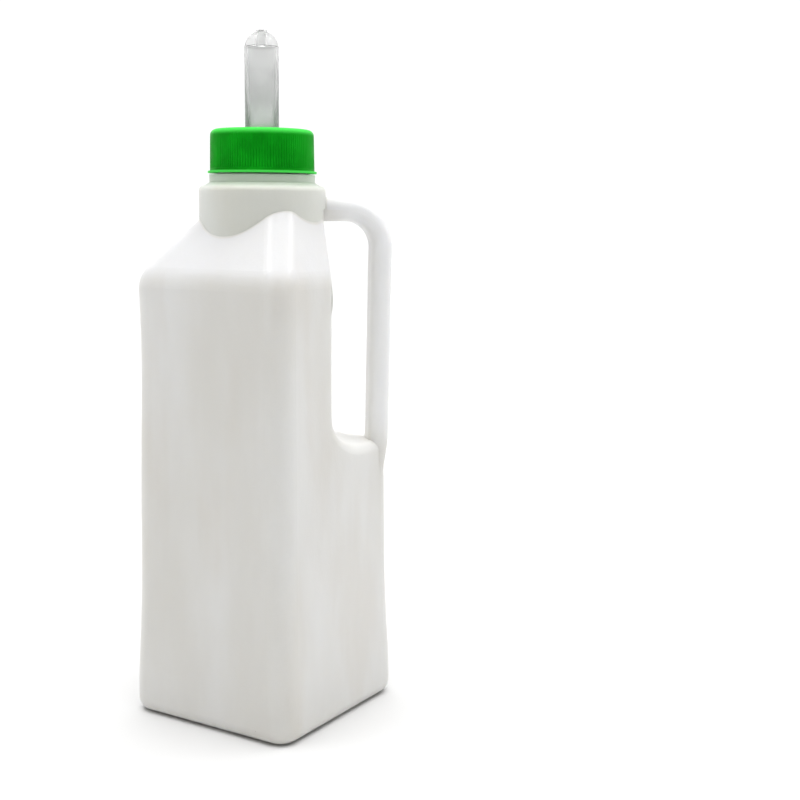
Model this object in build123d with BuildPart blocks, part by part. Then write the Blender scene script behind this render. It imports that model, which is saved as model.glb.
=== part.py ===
from build123d import *
from math import cos, pi, radians, sin, sqrt, tan
import os

# Calf feeding bottle, millimetres. The origin is the centre of the base, under the neck.
# +Z is up. +X points from the neck axis to the corner that carries the handle, so the four
# flat sides of the body face 45 degrees to either side of the X and Y axes.

# ---- driving dimensions ----
wall = 1.8                        # thickness of the blow-moulded shell

# body
body_side = 114.8                 # across the flats, at the base
shoulder_side = 108.8             # across the flats, where the shoulder starts
body_profile = (                  # height and side across the flats, in between
    (14.0, 115.2),                # fullest just above the base
    (75.0, 111.4),
    (140.0, 109.8),
    (205.0, 107.6),               # waist
    (236.0, 107.8),
)
corner_radius = 12.5
base_edge_radius = 8.0
shoulder_height = 259.0           # where the upright walls end
shoulder_drop = 0.3               # the cavity's walls end this share of the wall lower
shoulder_edge_radius = 18.0
plain_slope = 51.8                # degrees, the two shoulder faces away from the handle
handle_slope = 60.0               # degrees, the two shoulder faces beside the handle
push_up = 2.5                     # depth of the dished base panel
panel_taper = 30.0                # degrees, the sides of the dished panel
foot_width = 12.0                 # from the body's flats to the dished panel

# collar and neck
collar_radius = 36.5
collar_foot = 280.0               # the collar starts inside the shoulder
collar_top = 310.2
collar_edge_radius = 3.0
bead_radius = 30.4                # hollow ring under the cap
bead_bottom = 312.0
bead_top = 316.4
neck_radius = 25.6
neck_wall = 2.2
rim_height = 337.5

# hand gap and handle
gap_plane = 33.0                  # flat face behind the handle, distance from the axis
ledge_height = 160.3              # bottom of the hand gap
gap_corner_radius = 20.0
gap_rim_radius = 6.0              # rounding round the mouth of the gap
handle_outside = 76.3             # at the upper bend
handle_drift = 2.1                # the handle leans in by this much towards its foot
handle_depth = 12.4               # of the grip
arm_depth = 14.1                  # of the arm, from the collar to the upper bend
handle_width = 20.0
handle_edge_radius = 5.9
handle_top = 304.2
handle_bend = 21.5                # radius of the handle's centre line at its upper bend
handle_start = 24.0               # where its centre line begins, inside the collar
handle_root = (6.0, 40.0)         # inwards and down from the ledge to the end of its centre line
handle_root_bend = 80.0

# screw thread, right-handed, with the same pitch on the neck and in the cap
pitch = 4.2
thread_depth = 1.7
thread_foot = 2.0                 # width of the ridge at its foot
thread_crest = 0.9
thread_embed = 0.3                # how far a ridge is sunk into its wall
neck_thread_start = 323.5
neck_turns = 2.0
cap_turns = 1.5

# cap
cap_radius = 30.0
cap_bottom = 317.2
cap_top = 342.0
cap_plate = 2.1
cap_bore = 27.8                   # inside radius, at the foot of the cap's thread
cap_crown_radius = 3.5
cap_draft = 0.3                   # the side is this much narrower at the top
flange_radius = 31.3
flange_thickness = 1.2
plain_band = 1.6                  # smooth band above the flange
rib_count = 120
rib_depth = 0.45
nipple_hole_radius = 10.1

# nipple
nipple_radius = 9.8
nipple_wall = 2.2
nipple_top = 397.4
nub_radius = 3.2
nub_height = 0.5                  # above the top of the dome
tip_thickness = 9.6               # solid rubber at the tip, apart from the feed passage
feed_passage_radius = 2.6
feed_hole_radius = 1.0
feed_hole_length = 3.0
seal_radius = 26.8
seal_thickness = 2.2
seal_gap = 0.1                    # on each side of the seal

# air valve
valve_side = -26.5                # along Y, from the middle of the flat face
valve_height = 247.0
valve_rim_radius = 13.0
valve_rim_height = 1.1
plug_radius = 9.6
plug_length = 5.4
plug_gap = 0.05                   # the plug's radial play in the shell
barb_radius = 10.2
barb_length = 1.0
recess_radius = 8.0
recess_depth = 2.0                # from the shell's face to the plug's floor
plug_floor = 1.6
vent_circle = 4.7
vent_radius = 1.0
vent_count = 6
stem_radius = 1.6
stem_gap = 0.08
flap_radius = 7.2
flap_thickness = 0.8
head_radius = 3.3
head_height = 2.0
flap_travel = 1.0                 # how far the flap opens
seat_gap = 0.05                   # between the shut flap and the plug's floor

clearance = 1.0                   # how far a cutting form stands past the face it cuts

os.makedirs("parts", exist_ok=True)

arm_middle = handle_top - arm_depth / 2


def shoulder_foot(inset):
    return shoulder_height - shoulder_drop * inset


def wall_sections(inset):
    """Heights and sides of the body's cross-sections, from the base to the shoulder."""
    outside = ((inset, body_side), *body_profile, (shoulder_foot(inset), shoulder_side))
    return [(height, side - 2 * inset) for height, side in outside]


def body_square(side, inset):
    """One cross-section of the body, turned so that a corner points along +X."""
    RectangleRounded(side, side, corner_radius - inset, rotation=45)


def upright_walls(inset):
    sections = []
    for height, side in wall_sections(inset):
        with BuildSketch(Plane.XY.offset(height)) as section:
            body_square(side, inset)
        sections.append(section.sketch)
    loft(sections)


def pyramid_shoulder(inset):
    """Four sloping faces, steeper beside the handle, so the section drifts towards +X."""
    foot = shoulder_foot(inset)
    foot_side = shoulder_side - 2 * inset
    rise = collar_top - wall - foot
    plain_run = rise / tan(radians(plain_slope))
    handle_run = rise / tan(radians(handle_slope))
    with BuildSketch(Plane.XY.offset(foot)) as lower:
        body_square(foot_side, inset)
    with BuildSketch(Plane.XY.offset(foot + rise)) as upper:
        with Locations(((plain_run - handle_run) / sqrt(2), 0)):
            body_square(foot_side - plain_run - handle_run, inset)
    loft([lower.sketch, upper.sketch], ruled=True)


def shoulder_edges(form):
    return form.edges().filter_by_position(Axis.Z, shoulder_height - wall, shoulder_height + wall)


def gap_rim(form, inset):
    """The closed loop of edges round the mouth of the hand gap, before the collar is added."""
    margin = wall / 2
    rim = form.edges().filter_by(Axis.Y, reverse=True)
    rim = rim.filter_by_position(Axis.X, gap_plane - inset - margin, body_side)
    return rim.filter_by_position(Axis.Z, ledge_height - inset - margin, collar_top)


def gap_cut(inset, top):
    """The corner behind the handle is cut away by a flat face and a ledge, up to a height."""
    near = gap_plane - inset
    floor = ledge_height - inset
    far = body_side
    with BuildSketch(Plane.XZ) as gap:
        with BuildLine():
            FilletPolyline((near, top), (near, floor), (far, floor), radius=gap_corner_radius + inset)
            Polyline((far, floor), (far, top), (near, top))
        make_face()
    extrude(gap.sketch, amount=body_side, both=True, mode=Mode.SUBTRACT)


def tube_section(line, share, depth, inset):
    """The handle's section, square to its centre line."""
    with BuildSketch(Plane(origin=line @ share, x_dir=(0, 1, 0), z_dir=line % share)) as tube:
        RectangleRounded(handle_width - 2 * inset, depth - 2 * inset, handle_edge_radius - inset)
    return tube.sketch


def handle_tube(inset):
    """Out of the collar, round the bend and down into the corner of the body."""
    middle_x = handle_outside - handle_depth / 2
    inwards, down = handle_root
    with BuildLine() as route:
        FilletPolyline(
            (handle_start, 0, arm_middle),
            (middle_x, 0, arm_middle),
            (middle_x - handle_drift, 0, ledge_height),
            (middle_x - handle_drift - inwards, 0, ledge_height - down),
            radius=[handle_bend, handle_root_bend],
        )
    arm, bend, *grip = route.edges().sort_by(route.wires()[0])
    sweep(tube_section(arm, 0, arm_depth, inset), path=arm)
    sweep(
        [tube_section(bend, 0, arm_depth, inset), tube_section(bend, 1, handle_depth, inset)],
        path=bend,
        multisection=True,
    )
    sweep(tube_section(grip[0], 0, handle_depth, inset), path=Wire(grip))


def base_panel(inset, mode):
    """The dished middle of the base, or the raised floor inside the shell."""
    side = body_side - 2 * foot_width + 2 * inset
    with BuildSketch() as panel:
        body_square(side, 0)
    extrude(panel.sketch, amount=push_up + inset, taper=panel_taper, mode=mode)


def thread_ridge(radius, start, turns, side):
    """A trapezoid ridge along a right-hand helix; side is 1 for outward and -1 for inward."""
    with BuildPart() as ridge:
        with BuildLine() as route:
            Helix(pitch=pitch, height=turns * pitch, radius=radius, center=(0, 0, start))
        with BuildSketch(Plane(origin=route.line @ 0, x_dir=(1, 0, 0), z_dir=route.line % 0)) as tooth:
            with BuildLine():
                Polyline(
                    (-side * thread_embed, -thread_foot / 2),
                    (side * thread_depth, -thread_crest / 2),
                    (side * thread_depth, thread_crest / 2),
                    (-side * thread_embed, thread_foot / 2),
                    close=True,
                )
            make_face()
        sweep(tooth.sketch, path=route.line, is_frenet=True)
    return ridge.part


# ---- bottle: one blow-moulded shell with a hollow handle ----
with BuildPart() as body_form:
    upright_walls(0)
    fillet(body_form.edges().group_by(Axis.Z)[0], base_edge_radius)
    base_panel(0, Mode.SUBTRACT)
    pyramid_shoulder(0)
    fillet(shoulder_edges(body_form), shoulder_edge_radius)
    gap_cut(0, collar_top)
    fillet(gap_rim(body_form, 0), gap_rim_radius)
    with BuildSketch(Plane.XY.offset(collar_foot)):
        Circle(collar_radius)
    extrude(amount=collar_top - collar_foot)
    fillet(body_form.edges().group_by(Axis.Z)[-1], collar_edge_radius)
    gap_cut(0, arm_middle)
    handle_tube(0)
    with BuildSketch(Plane.XZ):
        with BuildLine():
            Polyline(
                (0, collar_top - 2 * collar_edge_radius),
                (collar_radius - collar_edge_radius, collar_top - 2 * collar_edge_radius),
                (collar_radius - collar_edge_radius, collar_top),
                (bead_radius, bead_bottom),
                (bead_radius, bead_top),
                (neck_radius, bead_top),
                (neck_radius, rim_height),
                (0, rim_height),
                close=True,
            )
        make_face()
    revolve(axis=Axis.Z)

with BuildPart() as cavity:
    upright_walls(wall)
    fillet(cavity.edges().group_by(Axis.Z)[0], base_edge_radius - wall)
    base_panel(wall, Mode.SUBTRACT)
    pyramid_shoulder(wall)
    fillet(shoulder_edges(cavity), shoulder_edge_radius - wall)
    gap_cut(wall, collar_top)
    fillet(gap_rim(cavity, wall), gap_rim_radius - wall)
    with BuildSketch(Plane.XZ):
        with BuildLine():
            Polyline(
                (0, collar_foot),
                (collar_radius - wall, collar_foot),
                (collar_radius - wall, collar_top - collar_edge_radius),
                (collar_radius - collar_edge_radius, collar_top - wall),
                (bead_radius - wall, bead_bottom - wall),
                (bead_radius - wall, bead_top - wall),
                (neck_radius - neck_wall, bead_top - wall),
                (neck_radius - neck_wall, rim_height + clearance),
                (0, rim_height + clearance),
                close=True,
            )
        make_face()
    revolve(axis=Axis.Z)
    gap_cut(wall, arm_middle + wall)
    handle_tube(wall)

valve_centre = Vector(gap_plane, valve_side, valve_height)
valve_face = Plane(origin=valve_centre, x_dir=(0, 1, 0), z_dir=(1, 0, 0))
valve_section = Plane(origin=valve_centre, x_dir=(0, 1, 0), z_dir=(0, 0, -1))
valve_axis = Axis(valve_centre, (1, 0, 0))

with BuildPart() as bottle:
    add(body_form.part)
    add(cavity.part, mode=Mode.SUBTRACT)
    add(thread_ridge(neck_radius, neck_thread_start, neck_turns, 1))
    with BuildSketch(valve_face.offset(-2 * wall)):
        Circle(plug_radius + plug_gap)
    extrude(amount=4 * wall, mode=Mode.SUBTRACT)
bottle.part.label = "bottle"
export_step(bottle.part, "parts/bottle.step")

# ---- screw cap ----
rib_step = 2 * pi / rib_count
rib_outline = []
for rib in range(rib_count):
    for radius, angle in (
        (cap_radius + rib_depth, rib * rib_step),
        (cap_radius - rib_depth, (rib + 0.5) * rib_step),
    ):
        rib_outline.append((radius * cos(angle), radius * sin(angle)))
rib_foot = cap_bottom + flange_thickness + plain_band
cap_side_top = cap_radius - cap_draft

with BuildPart() as screw_cap:
    with BuildSketch(Plane.XY.offset(rib_foot)):
        with BuildLine():
            Polyline(*rib_outline, close=True)
        make_face()
    extrude(amount=cap_top - rib_foot)
    with BuildSketch(Plane.XZ):
        with BuildLine():
            side_line = Line((cap_radius, rib_foot), (cap_side_top, cap_top - cap_crown_radius))
            crown = RadiusArc(side_line @ 1, (cap_side_top - cap_crown_radius, cap_top), -cap_crown_radius)
            Polyline(crown @ 1, (0, cap_top), (0, rib_foot), side_line @ 0)
        make_face()
    revolve(axis=Axis.Z, mode=Mode.INTERSECT)
    with BuildSketch(Plane.XY.offset(cap_bottom)):
        Circle(cap_radius)
    extrude(amount=rib_foot - cap_bottom)
    with BuildSketch(Plane.XY.offset(cap_bottom)):
        Circle(flange_radius)
    extrude(amount=flange_thickness)
    with BuildSketch(Plane.XY.offset(cap_bottom)):
        Circle(cap_bore)
    extrude(amount=cap_top - cap_plate - cap_bottom, mode=Mode.SUBTRACT)
    with BuildSketch(Plane.XY.offset(cap_top - 2 * cap_plate)):
        Circle(nipple_hole_radius)
    extrude(amount=3 * cap_plate, mode=Mode.SUBTRACT)
    add(thread_ridge(cap_bore, neck_thread_start + pitch / 2, cap_turns, -1))
screw_cap.part.label = "screw_cap"
export_step(screw_cap.part, "parts/screw_cap.step")

# ---- nipple, with the flange that seals the neck ----
seal_bottom = rim_height + seal_gap
seal_top = seal_bottom + seal_thickness
nipple_bore = nipple_radius - nipple_wall
dome_centre = nipple_top - nub_height - nipple_radius
dome_edge = dome_centre + sqrt(nipple_radius**2 - nub_radius**2)

with BuildPart() as nipple:
    with BuildSketch(Plane.XZ):
        with BuildLine():
            Polyline(
                (nipple_bore + seal_thickness, seal_bottom),
                (seal_radius, seal_bottom),
                (seal_radius, seal_top),
                (nipple_radius, seal_top),
                (nipple_radius, dome_centre),
            )
            RadiusArc((nipple_radius, dome_centre), (nub_radius, dome_edge), -nipple_radius)
            Polyline(
                (nub_radius, dome_edge),
                (nub_radius, nipple_top),
                (feed_hole_radius, nipple_top),
                (feed_hole_radius, nipple_top - feed_hole_length),
                (feed_passage_radius, nipple_top - feed_hole_length),
                (feed_passage_radius, nipple_top - tip_thickness),
                (nipple_bore, nipple_top - tip_thickness),
                (nipple_bore, seal_top),
                (nipple_bore + seal_thickness, seal_bottom),
            )
        make_face()
    revolve(axis=Axis.Z)
nipple.part.label = "nipple"
export_step(nipple.part, "parts/nipple.step")

# ---- air valve: a plug with a vented floor, and a rubber flap that covers the vents inside ----
floor_top = -recess_depth
floor_under = floor_top - plug_floor

with BuildPart() as valve_seat:
    with BuildSketch(valve_section):
        with BuildLine():
            Polyline(
                (stem_radius + stem_gap, floor_top),
                (recess_radius, floor_top),
                (recess_radius, valve_rim_height),
                (valve_rim_radius, valve_rim_height),
                (valve_rim_radius, 0),
                (plug_radius, 0),
                (plug_radius, -wall),
                (barb_radius, -wall),
                (plug_radius, -wall - barb_length),
                (plug_radius, -plug_length),
                (recess_radius, -plug_length),
                (recess_radius, floor_under),
                (stem_radius + stem_gap, floor_under),
                close=True,
            )
        make_face()
    revolve(axis=valve_axis)
    fillet(valve_seat.faces().sort_by(Axis.X)[-1].edges(), valve_rim_height / 3)
    with BuildSketch(valve_face.offset(floor_under)):
        with PolarLocations(vent_circle, vent_count):
            Circle(vent_radius)
    extrude(amount=plug_floor, mode=Mode.SUBTRACT)
valve_seat.part.label = "valve_seat"
export_step(valve_seat.part, "parts/valve_seat.step")

with BuildPart() as valve_flap:
    head_under = floor_top + flap_travel + seat_gap
    flap_face = floor_under - seat_gap
    with BuildSketch(valve_section):
        with BuildLine():
            Polyline(
                (0, flap_face - flap_thickness),
                (flap_radius, flap_face - flap_thickness / 2),
                (flap_radius, flap_face),
                (stem_radius, flap_face),
                (stem_radius, head_under),
                (head_radius, head_under),
            )
            TangentArc((0, head_under + head_height), (head_radius, head_under), tangent=(1, 0))
            Line((0, head_under + head_height), (0, flap_face - flap_thickness))
        make_face()
    revolve(axis=valve_axis)
valve_flap.part.label = "valve_flap"
export_step(valve_flap.part, "parts/valve_flap.step")
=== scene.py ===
import math

import bpy
from mathutils import Matrix, Vector


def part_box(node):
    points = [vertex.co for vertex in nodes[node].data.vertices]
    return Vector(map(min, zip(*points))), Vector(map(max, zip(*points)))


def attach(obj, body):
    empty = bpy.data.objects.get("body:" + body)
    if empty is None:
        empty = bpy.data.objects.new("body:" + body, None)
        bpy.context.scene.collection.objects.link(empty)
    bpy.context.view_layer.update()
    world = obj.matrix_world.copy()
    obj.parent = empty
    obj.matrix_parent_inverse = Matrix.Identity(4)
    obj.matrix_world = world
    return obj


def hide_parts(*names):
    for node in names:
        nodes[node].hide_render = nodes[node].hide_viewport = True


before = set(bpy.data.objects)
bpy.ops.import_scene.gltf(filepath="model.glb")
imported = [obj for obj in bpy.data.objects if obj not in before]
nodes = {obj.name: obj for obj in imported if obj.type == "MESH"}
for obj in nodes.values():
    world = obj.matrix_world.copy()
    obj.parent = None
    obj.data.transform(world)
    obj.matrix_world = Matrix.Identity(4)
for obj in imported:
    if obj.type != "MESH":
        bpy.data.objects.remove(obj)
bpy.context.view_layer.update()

# All lengths are metres, in the bottle's own frame: +Z is up along the neck's axis, and +X points
# from that axis to the corner with the handle.

# ---- camera: level with the neck, looking slightly down, with the handle at the right ----
CAMERA_AT = Vector((-0.0960, -0.7520, 0.2985))
CAMERA_FORWARD = Vector((0.2286, 0.9622, -0.1480))
CAMERA_ROLL = math.radians(0.45)
CAMERA_LENS = 57.9
CAMERA_SENSOR = 36.0
EXPOSURE = 0.09

# ---- lights: place, point they face, size and power ----
SOFTBOX_RIGHT = ((1.5, 0.1, 0.5), (0, 0, 0.2), (1.0, 1.4), 1.2)
STRIP_LEFT = ((-0.57, 0.05, 1.76), (0, 0, 0.28), (0.40, 0.10), 2.1)
STRIP_RIGHT = ((1.02, 0.08, 1.54), (0, 0, 0.28), (0.40, 0.10), 2.0)
SUN_FROM = (0.02, -0.05, 1.0)
SUN_ANGLE = 70
SUN_STRENGTH = 4.3

# ---- the room's own light: low, high, strength at low and strength at high ----
HORIZON_BAND = (0.17, 0.40, 1.02, 0.22)
BACKDROP = (0.15, 0.75, 0.0, 0.70)
FRONT_OF_ROOM = (-0.80, 0.10, 0.66, 1.0)

# ---- floor ----
FLOOR_REACH = 30
FLOOR_GREY = (0.63, 0.63, 0.63)
FLOOR_ROUGHNESS = 0.8

# ---- the nipple; its flange, foot and top come from the CAD box ----
NIPPLE_RADIUS = 0.0098
NIPPLE_WALL = 0.0022
SEAL_THICKNESS = 0.0022
NUB_RADIUS = 0.0032
NUB_HEIGHT = 0.0005
TIP_THICKNESS = 0.0088
HOLE_RADIUS = 0.0010
HOLE_LENGTH = 0.0030
PASSAGE_RADIUS = 0.0026
LIP_ROUNDING = 0.0006
NUB_ROUNDING = 0.0004
BORE_ROUNDING = 0.0014

# ---- where a tint or a painted light or shade starts and ends: _R is a distance from the neck's axis, _X and _Z are places ----
BEAD_Z = (0.3085, 0.3125)             # the neck's bead, under the cap
COLLAR_R = (0.0363, 0.0370)
COLLAR_Z = (0.255, 0.262)
FLAT_FACE_X = (0.0325, 0.0329)        # the flat face behind the handle
FLAT_FACE_TOP_Z = (0.2965, 0.2972)
SHOULDER_R = (0.0370, 0.0378)         # the shoulder begins where the collar ends
SHOULDER_Z = (0.254, 0.266)
GRIP_X = (0.038, 0.052)
GRIP_Z = (0.150, 0.180)
ARM_X = (0.0340, 0.0380)
ARM_Z = (0.262, 0.290)
PARTING_LINE = (0.00012, 0.00042)     # distance from the handle's middle plane
RIB_FOOT_R = (0.0285, 0.0292)
RIB_VALLEY_R = (0.0294, 0.0302)
RIB_CREST_R = (0.0302, 0.0305)
FLANGE_Z = (0.3184, 0.3190)
CROWN_Z = (0.3380, 0.3412)
# the painted green light on the nipple's foot fades in between the next two places
SEAL_Z = (0.330, 0.336)               # the nipple's flange; no green shows below it
NIPPLE_FOOT_Z = (0.3420, 0.3460)

# ---- roughness, smoothest and dullest ----
SHELL_ROUGHNESS = (0.285, 0.345)
CAP_ROUGHNESS = (0.30, 0.44)
NIPPLE_ROUGHNESS = (0.10, 0.17)
SEAT_ROUGHNESS = (0.29, 0.38)
FLAP_ROUGHNESS = (0.34, 0.48)

# ---- flow grain of the clear plastics: how much its noise is drawn out along each axis ----
GRAIN_ALONG = (1, 1, 0.35)
GRAIN_EVEN = (1, 1, 1)

# ---- the colours of the plastics, and of the light and shade painted onto them, linear ----
MILKY = (0.655, 0.638, 0.594)
MILKY_PALE = (0.730, 0.721, 0.692)
# painted glow of the handle's thin wall and of light from above on its arm
HANDLE_GLOW = (0.960, 0.955, 0.930)
# painted shade and green light, on the neck under the cap
NECK_SHADE_GREEN = (0.400, 0.520, 0.390)
# painted cool light from above, on the shoulder
OVERHEAD_LIGHT_COOL = (0.750, 0.750, 0.765)
STAIN = (0.590, 0.540, 0.470)
SPECK = (0.30, 0.27, 0.22)
GREEN = (0.004, 0.330, 0.010)
GREEN_DEEP = (0.002, 0.235, 0.006)
GREEN_SCUFF = (0.020, 0.400, 0.030)
# painted glow and highlight, on the cap's flange and crown
GREEN_GLOW = (0.075, 0.680, 0.095)
# painted green light, seen through the nipple's foot
PAINTED_GREEN_THROUGH = (0.450, 0.780, 0.450)
CLEAR = (0.868, 0.870, 0.868)
CLEAR_DULL = (0.830, 0.833, 0.830)
VALVE = (0.780, 0.780, 0.730)
VALVE_DULL = (0.700, 0.700, 0.640)
FLAP = (0.700, 0.690, 0.620)
FLAP_DULL = (0.620, 0.610, 0.540)


def place(name, data):
    """A new object in the scene."""
    thing = bpy.data.objects.new(name, data)
    bpy.context.scene.collection.objects.link(thing)
    return thing


def make_camera():
    data = bpy.data.cameras.new("camera")
    data.lens = CAMERA_LENS
    data.sensor_width = CAMERA_SENSOR
    camera = place("camera", data)
    camera.rotation_mode = "QUATERNION"
    camera.location = CAMERA_AT
    look = CAMERA_FORWARD.to_track_quat("-Z", "Y")
    camera.rotation_quaternion = look @ Matrix.Rotation(CAMERA_ROLL, 3, "Z").to_quaternion()
    bpy.context.scene.camera = camera


class Tree:
    """A node tree, with short calls for the nodes used here."""

    def __init__(self, tree, coordinate):
        self.tree = tree
        self.at = self.add("ShaderNodeTexCoord").outputs[coordinate]

    def add(self, kind, **settings):
        node = self.tree.nodes.new(kind)
        for name, value in settings.items():
            setattr(node, name, value)
        return node

    def link(self, source, target):
        self.tree.links.new(source, target)

    def put(self, value, target):
        if isinstance(value, bpy.types.NodeSocket):
            self.link(value, target)
        else:
            target.default_value = value

    def split(self):
        """The three parts of the position, or of the direction in the world."""
        parts = self.add("ShaderNodeSeparateXYZ")
        self.link(self.at, parts.inputs["Vector"])
        return parts.outputs["X"], parts.outputs["Y"], parts.outputs["Z"]

    def math(self, operation, first, second=0.0):
        node = self.add("ShaderNodeMath", operation=operation)
        self.put(first, node.inputs[0])
        self.put(second, node.inputs[1])
        return node.outputs[0]

    def times(self, first, second):
        return self.math("MULTIPLY", first, second)

    def ramp(self, value, low, high, start=0.0, end=1.0):
        """Smooth step of a value from start at low to end at high."""
        node = self.add("ShaderNodeMapRange", interpolation_type="SMOOTHSTEP")
        self.put(value, node.inputs["Value"])
        for name, number in (("From Min", low), ("From Max", high), ("To Min", start), ("To Max", end)):
            node.inputs[name].default_value = number
        return node.outputs["Result"]


class Material(Tree):
    """A material of one Principled shader."""

    def __init__(self, name):
        self.material = bpy.data.materials.new(name)
        self.material.use_nodes = True
        self.material.node_tree.nodes.clear()
        super().__init__(self.material.node_tree, "Object")
        self.shader = self.add("ShaderNodeBsdfPrincipled")
        output = self.add("ShaderNodeOutputMaterial")
        self.link(self.shader.outputs["BSDF"], output.inputs["Surface"])
        self.lower_relief = None

    def set(self, **values):
        """Uniform values, straight onto the shader's own sockets."""
        for name, value in values.items():
            self.shader.inputs[name.replace("_", " ")].default_value = value

    def from_axis(self, x, y):
        """Distance from the neck's axis."""
        return self.math("SQRT", self.math("ADD", self.math("POWER", x, 2.0), self.math("POWER", y, 2.0)))

    def noise(self, size, detail=2.0, squash=(1, 1, 1)):
        """Noise with features about size across, drawn out along an axis whose squash is below 1."""
        mapping = self.add("ShaderNodeMapping")
        self.link(self.at, mapping.inputs["Vector"])
        mapping.inputs["Scale"].default_value = squash
        node = self.add("ShaderNodeTexNoise")
        self.link(mapping.outputs["Vector"], node.inputs["Vector"])
        node.inputs["Scale"].default_value = 1 / size
        node.inputs["Detail"].default_value = detail
        return node.outputs["Fac"]

    def specks(self, spacing, radius, share):
        """1 on small round specks, one in some of the cells that are spacing across."""
        node = self.add("ShaderNodeTexVoronoi")
        self.link(self.at, node.inputs["Vector"])
        node.inputs["Scale"].default_value = 1 / spacing
        parts = self.add("ShaderNodeSeparateColor")
        self.link(node.outputs["Color"], parts.inputs["Color"])
        size = radius / spacing
        dot = self.ramp(node.outputs["Distance"], size * 0.6, size, 1.0, 0.0)
        chosen = self.math("LESS_THAN", parts.outputs["Red"], share)
        return self.times(dot, chosen)

    def mix(self, share, first, second):
        node = self.add("ShaderNodeMix", data_type="RGBA")
        self.put(share, node.inputs["Factor"])
        for value, target in ((first, node.inputs["A"]), (second, node.inputs["B"])):
            self.put(value if isinstance(value, bpy.types.NodeSocket) else (*value, 1), target)
        return node.outputs["Result"]

    def color(self, source):
        self.link(source, self.shader.inputs["Base Color"])

    def roughness(self, noise, smooth, dull):
        """Roughness that wanders with a noise from smooth to dull."""
        self.link(self.ramp(noise, 0.3, 0.7, smooth, dull), self.shader.inputs["Roughness"])

    def relief(self, source, height):
        """Adds a relief this high to the surface; the first one added is the lowest layer."""
        node = self.add("ShaderNodeBump")
        node.inputs["Distance"].default_value = height
        self.link(source, node.inputs["Height"])
        if self.lower_relief is not None:
            self.link(self.lower_relief, node.inputs["Normal"])
        self.lower_relief = node.outputs["Normal"]
        self.link(self.lower_relief, self.shader.inputs["Normal"])

    def wear(self, *names):
        for name in names:
            mesh = nodes[name].data
            mesh.materials.clear()
            mesh.materials.append(self.material)


def shell_material():
    """Natural polyethylene: milky, lets light through, soft satin with slow waves."""
    m = Material("natural_polyethylene")
    x, y, z = m.split()
    radius = m.from_axis(x, y)
    # slow clouds drawn out along the height, where the blown wall is thicker or thinner
    cloud = m.ramp(m.noise(0.060, 4, (1, 1, 0.30)), 0.32, 0.68)
    tint = m.mix(cloud, MILKY, MILKY_PALE)
    streak = m.ramp(m.noise(0.038, 3, (1, 1, 0.22)), 0.50, 0.70, 0.0, 0.30)
    tint = m.mix(streak, tint, STAIN)
    # neither the shoulder's painted light nor the collar's painted shade reaches the flat face behind the
    # handle
    flat_face = m.times(m.ramp(x, *FLAT_FACE_X), m.ramp(z, *FLAT_FACE_TOP_Z, 1.0, 0.0))
    off_flat_face = m.math("SUBTRACT", 1.0, flat_face)
    # painted light: the shoulder, which faces up, is painted paler and cooler, standing for the cool
    # light from above
    shoulder = m.times(m.ramp(radius, *SHOULDER_R), m.ramp(z, *SHOULDER_Z, 0.0, 0.60))
    tint = m.mix(m.times(shoulder, off_flat_face), tint, OVERHEAD_LIGHT_COOL)
    # painted shade and green light: the neck's bead under the cap is painted darker and greener, standing
    # for the cap's shade and the green light through it, and the collar a little so
    collar_shade = m.times(m.ramp(radius, *COLLAR_R, 1.0, 0.0), m.ramp(z, *COLLAR_Z))
    collar_shade = m.times(collar_shade, off_flat_face)
    painted_neck_shade = m.math("ADD", m.times(collar_shade, 0.20), m.ramp(z, *BEAD_Z, 0.0, 0.55))
    tint = m.mix(painted_neck_shade, tint, NECK_SHADE_GREEN)
    # painted light: the handle is painted paler, standing for light glowing through its thin blown wall,
    # and the arm paler still towards its top, where light from above falls
    grip_glow = m.times(m.ramp(x, *GRIP_X), m.ramp(z, *GRIP_Z))
    arm_top_glow = m.times(m.ramp(x, *ARM_X), m.ramp(z, *ARM_Z, 0.0, 0.20))
    tint = m.mix(m.math("ADD", m.times(grip_glow, 0.8), arm_top_glow), tint, HANDLE_GLOW)
    dirt = m.times(m.specks(0.019, 0.00050, 0.35), 0.50)
    m.color(m.mix(dirt, tint, SPECK))
    m.roughness(m.noise(0.012, 4), *SHELL_ROUGHNESS)
    # slow waves of the blown wall, drawn out along the height, then finer ones, then a fine grain
    m.relief(m.noise(0.055, 2, (1, 1, 0.45)), 0.0022)
    m.relief(m.noise(0.009, 3, (1, 1, 0.60)), 0.00016)
    m.relief(m.noise(0.0013, 3), 0.00004)
    # parting line of the two mould halves, round the bottle in the plane of the handle
    m.relief(m.ramp(m.math("ABSOLUTE", y), *PARTING_LINE, 1.0, 0.0), 0.00016)
    m.set(Subsurface_Weight=0.85, Subsurface_Radius=(1.0, 0.97, 0.90), Subsurface_Scale=0.006)
    m.set(IOR=1.54, Specular_IOR_Level=0.42)
    m.wear("bottle")


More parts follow.
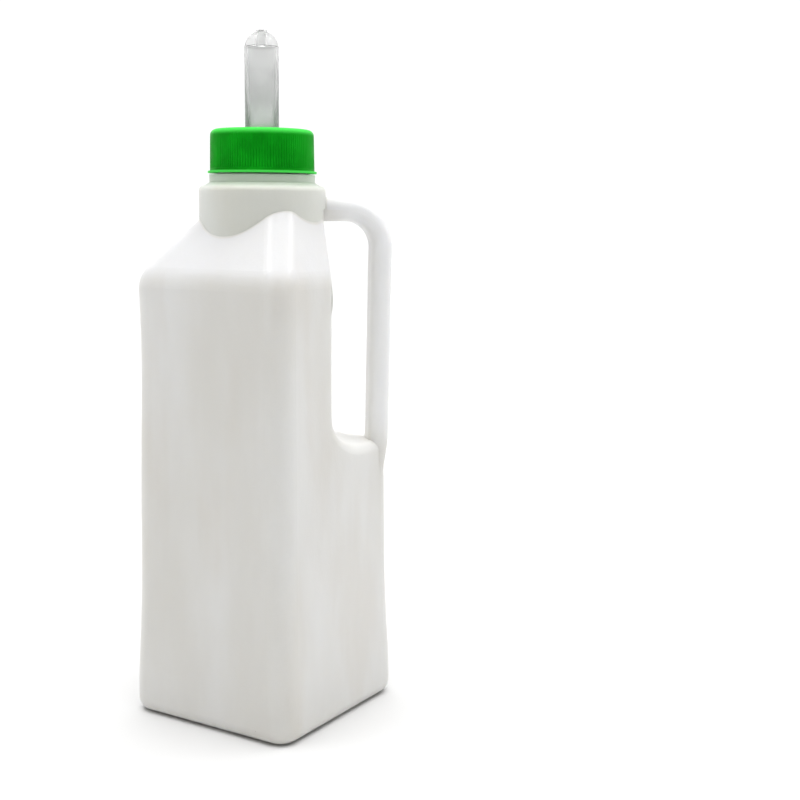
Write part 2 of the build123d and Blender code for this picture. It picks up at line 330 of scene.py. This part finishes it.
def cap_material():
    """Green polypropylene, satin, with the crests of the ribs rubbed paler, painted shade in the rib
    valleys and a painted glow on the flange and crown.
    """
    m = Material("green_polypropylene")
    x, y, z = m.split()
    radius = m.from_axis(x, y)
    cloud = m.ramp(m.noise(0.014, 3), 0.35, 0.65)
    tint = m.mix(cloud, GREEN_DEEP, GREEN)
    # painted shade: the valleys between the ribs are painted darker
    painted_valley_shade = m.times(m.ramp(radius, *RIB_VALLEY_R, 1.0, 0.0), m.ramp(radius, *RIB_FOOT_R))
    tint = m.mix(m.times(painted_valley_shade, 0.5), tint, GREEN_DEEP)
    rubbed = m.times(m.ramp(radius, *RIB_CREST_R), m.ramp(m.noise(0.004, 3), 0.40, 0.65))
    tint = m.mix(m.times(rubbed, 0.5), tint, GREEN_SCUFF)
    # painted light: the thin flange and the rounded crown are painted a paler green, standing for light
    # glowing through them and for the crown's highlight
    painted_glow = m.math("MAXIMUM", m.ramp(z, *FLANGE_Z, 1.0, 0.0), m.ramp(z, *CROWN_Z))
    m.color(m.mix(m.times(painted_glow, 0.80), tint, GREEN_GLOW))
    m.roughness(m.noise(0.006, 4), *CAP_ROUGHNESS)
    m.relief(m.noise(0.007, 2), 0.00010)
    m.relief(m.noise(0.0005, 2), 0.000018)
    m.set(Subsurface_Weight=0.25, Subsurface_Radius=(0.2, 1.0, 0.2), Subsurface_Scale=0.0012)
    m.set(IOR=1.49, Specular_IOR_Level=0.03)
    m.wear("screw_cap")


def clear_material(name, pair, grain, see_through, rough):
    """Clear or milky silicone or plastic: mottled, with a faint flow grain."""
    m = Material(name)
    z = m.split()[2]
    tint = m.mix(m.ramp(m.noise(0.008, 3), 0.35, 0.65), *pair)
    # painted green light: the foot of the nipple is painted green, standing for the cap's green seen
    # through it
    painted_green_through = m.times(m.ramp(z, *NIPPLE_FOOT_Z, 0.6, 0.0), m.ramp(z, *SEAL_Z))
    m.color(m.mix(painted_green_through, tint, PAINTED_GREEN_THROUGH))
    m.roughness(m.noise(0.007, 3), *rough)
    m.relief(m.noise(0.016, 1, grain), 0.00005)
    m.set(Transmission_Weight=see_through, IOR=1.42, Specular_IOR_Level=0.5)
    return m


def arc(centre, radius, start, end, steps=8):
    """Points along an arc in the radius and height plane, between two angles in degrees."""
    angles = [math.radians(start + (end - start) * step / steps) for step in range(steps + 1)]
    return [(centre[0] + radius * math.cos(a), centre[1] + radius * math.sin(a)) for a in angles]


def turned(name, profile, material, turns=144):
    """A mesh turned about the Z axis from a closed outline of radius and height."""
    points = []
    for turn in range(turns):
        angle = 2 * math.pi * turn / turns
        points += [(r * math.cos(angle), r * math.sin(angle), z) for r, z in profile]
    count = len(profile)
    faces = []
    for turn in range(turns):
        here, after = turn * count, (turn + 1) % turns * count
        for i in range(count):
            j = (i + 1) % count
            faces.append((here + i, after + i, after + j, here + j))
    mesh = bpy.data.meshes.new(name)
    mesh.from_pydata(points, [], faces)
    mesh.materials.append(material)
    mesh.shade_smooth()
    mesh.set_sharp_from_angle(angle=math.radians(50))
    return place(name, mesh)


def make_nipple(material):
    """The nipple with the soft corners of moulded silicone: the lip, the nub and the bore's end."""
    low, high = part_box("nipple")
    flange, foot, top = high[0], low[2], high[2]
    lip, crest, root = LIP_ROUNDING, NUB_ROUNDING, BORE_ROUNDING
    seat = foot + SEAL_THICKNESS
    dome = top - NUB_HEIGHT - NIPPLE_RADIUS
    shoulder = math.degrees(math.acos(NUB_RADIUS / NIPPLE_RADIUS))
    bore = NIPPLE_RADIUS - NIPPLE_WALL
    bore_end = top - TIP_THICKNESS
    profile = [(bore + SEAL_THICKNESS, foot)]
    profile += arc((flange - lip, foot + lip), lip, -90, 0)
    profile += arc((flange - lip, seat - lip), lip, 0, 90)
    profile += [(NIPPLE_RADIUS, seat)]
    profile += arc((0, dome), NIPPLE_RADIUS, 0, shoulder, steps=24)
    profile += arc((NUB_RADIUS - crest, top - crest), crest, 0, 90)
    profile += [(HOLE_RADIUS, top), (HOLE_RADIUS, top - HOLE_LENGTH)]
    profile += [(PASSAGE_RADIUS, top - HOLE_LENGTH - PASSAGE_RADIUS + HOLE_RADIUS)]
    profile += [(PASSAGE_RADIUS, bore_end)]
    profile += arc((bore - root, bore_end - root), root, 90, 0, steps=12)
    profile += [(bore, seat)]
    piece = turned("nipple_moulded", profile, material)
    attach(piece, "nipple")
    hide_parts("nipple")


def make_floor():
    m = Material("floor")
    m.set(Base_Color=(*FLOOR_GREY, 1), Roughness=FLOOR_ROUGHNESS)
    mesh = bpy.data.meshes.new("floor")
    corners = [(x * FLOOR_REACH, y * FLOOR_REACH, 0) for x, y in ((-1, -1), (1, -1), (1, 1), (-1, 1))]
    mesh.from_pydata(corners, [], [(0, 1, 2, 3)])
    mesh.materials.append(m.material)
    floor = place("floor", mesh)


def make_light(name, at, towards, size, power):
    data = bpy.data.lights.new(name, "AREA")
    data.shape = "RECTANGLE"
    data.size, data.size_y = size
    data.energy = power
    light = place(name, data)
    light.location = at
    light.rotation_mode = "QUATERNION"
    light.rotation_quaternion = (Vector(towards) - Vector(at)).to_track_quat("-Z", "Y")


def make_sun():
    """A wide soft light from above that whitens the floor evenly, out to the horizon."""
    data = bpy.data.lights.new("overhead", "SUN")
    data.angle = math.radians(SUN_ANGLE)
    data.energy = SUN_STRENGTH
    light = place("overhead", data)
    light.visible_glossy = False
    light.rotation_mode = "QUATERNION"
    light.rotation_quaternion = (-Vector(SUN_FROM)).to_track_quat("-Z", "Y")


def make_world():
    """A white band all round the horizon, taller at the back, a dimmer ceiling and front."""
    world = bpy.data.worlds.new("world")
    bpy.context.scene.world = world
    world.use_nodes = True
    w = Tree(world.node_tree, "Generated")
    background = world.node_tree.nodes["Background"]
    background.inputs["Color"].default_value = (1, 1, 1, 1)
    y, z = w.split()[1:]
    white = w.math("MAXIMUM", w.ramp(z, *HORIZON_BAND), w.ramp(y, *BACKDROP))
    w.link(w.times(white, w.ramp(y, *FRONT_OF_ROOM)), background.inputs["Strength"])


make_camera()
shell_material()
cap_material()
silicone = clear_material(
    "clear_silicone", (CLEAR_DULL, CLEAR), grain=GRAIN_ALONG, see_through=0.88, rough=NIPPLE_ROUGHNESS
)
make_nipple(silicone.material)
valve_plastic = clear_material(
    "translucent_plastic", (VALVE_DULL, VALVE), grain=GRAIN_EVEN, see_through=0.45, rough=SEAT_ROUGHNESS
)
valve_plastic.wear("valve_seat")
valve_rubber = clear_material(
    "milky_silicone", (FLAP_DULL, FLAP), grain=GRAIN_EVEN, see_through=0.30, rough=FLAP_ROUGHNESS
)
valve_rubber.wear("valve_flap")
make_floor()
make_sun()
make_light("softbox_right", *SOFTBOX_RIGHT)
make_light("strip_left", *STRIP_LEFT)
make_light("strip_right", *STRIP_RIGHT)
make_world()
bpy.context.scene.view_settings.view_transform = "Standard"
bpy.context.scene.view_settings.exposure = EXPOSURE
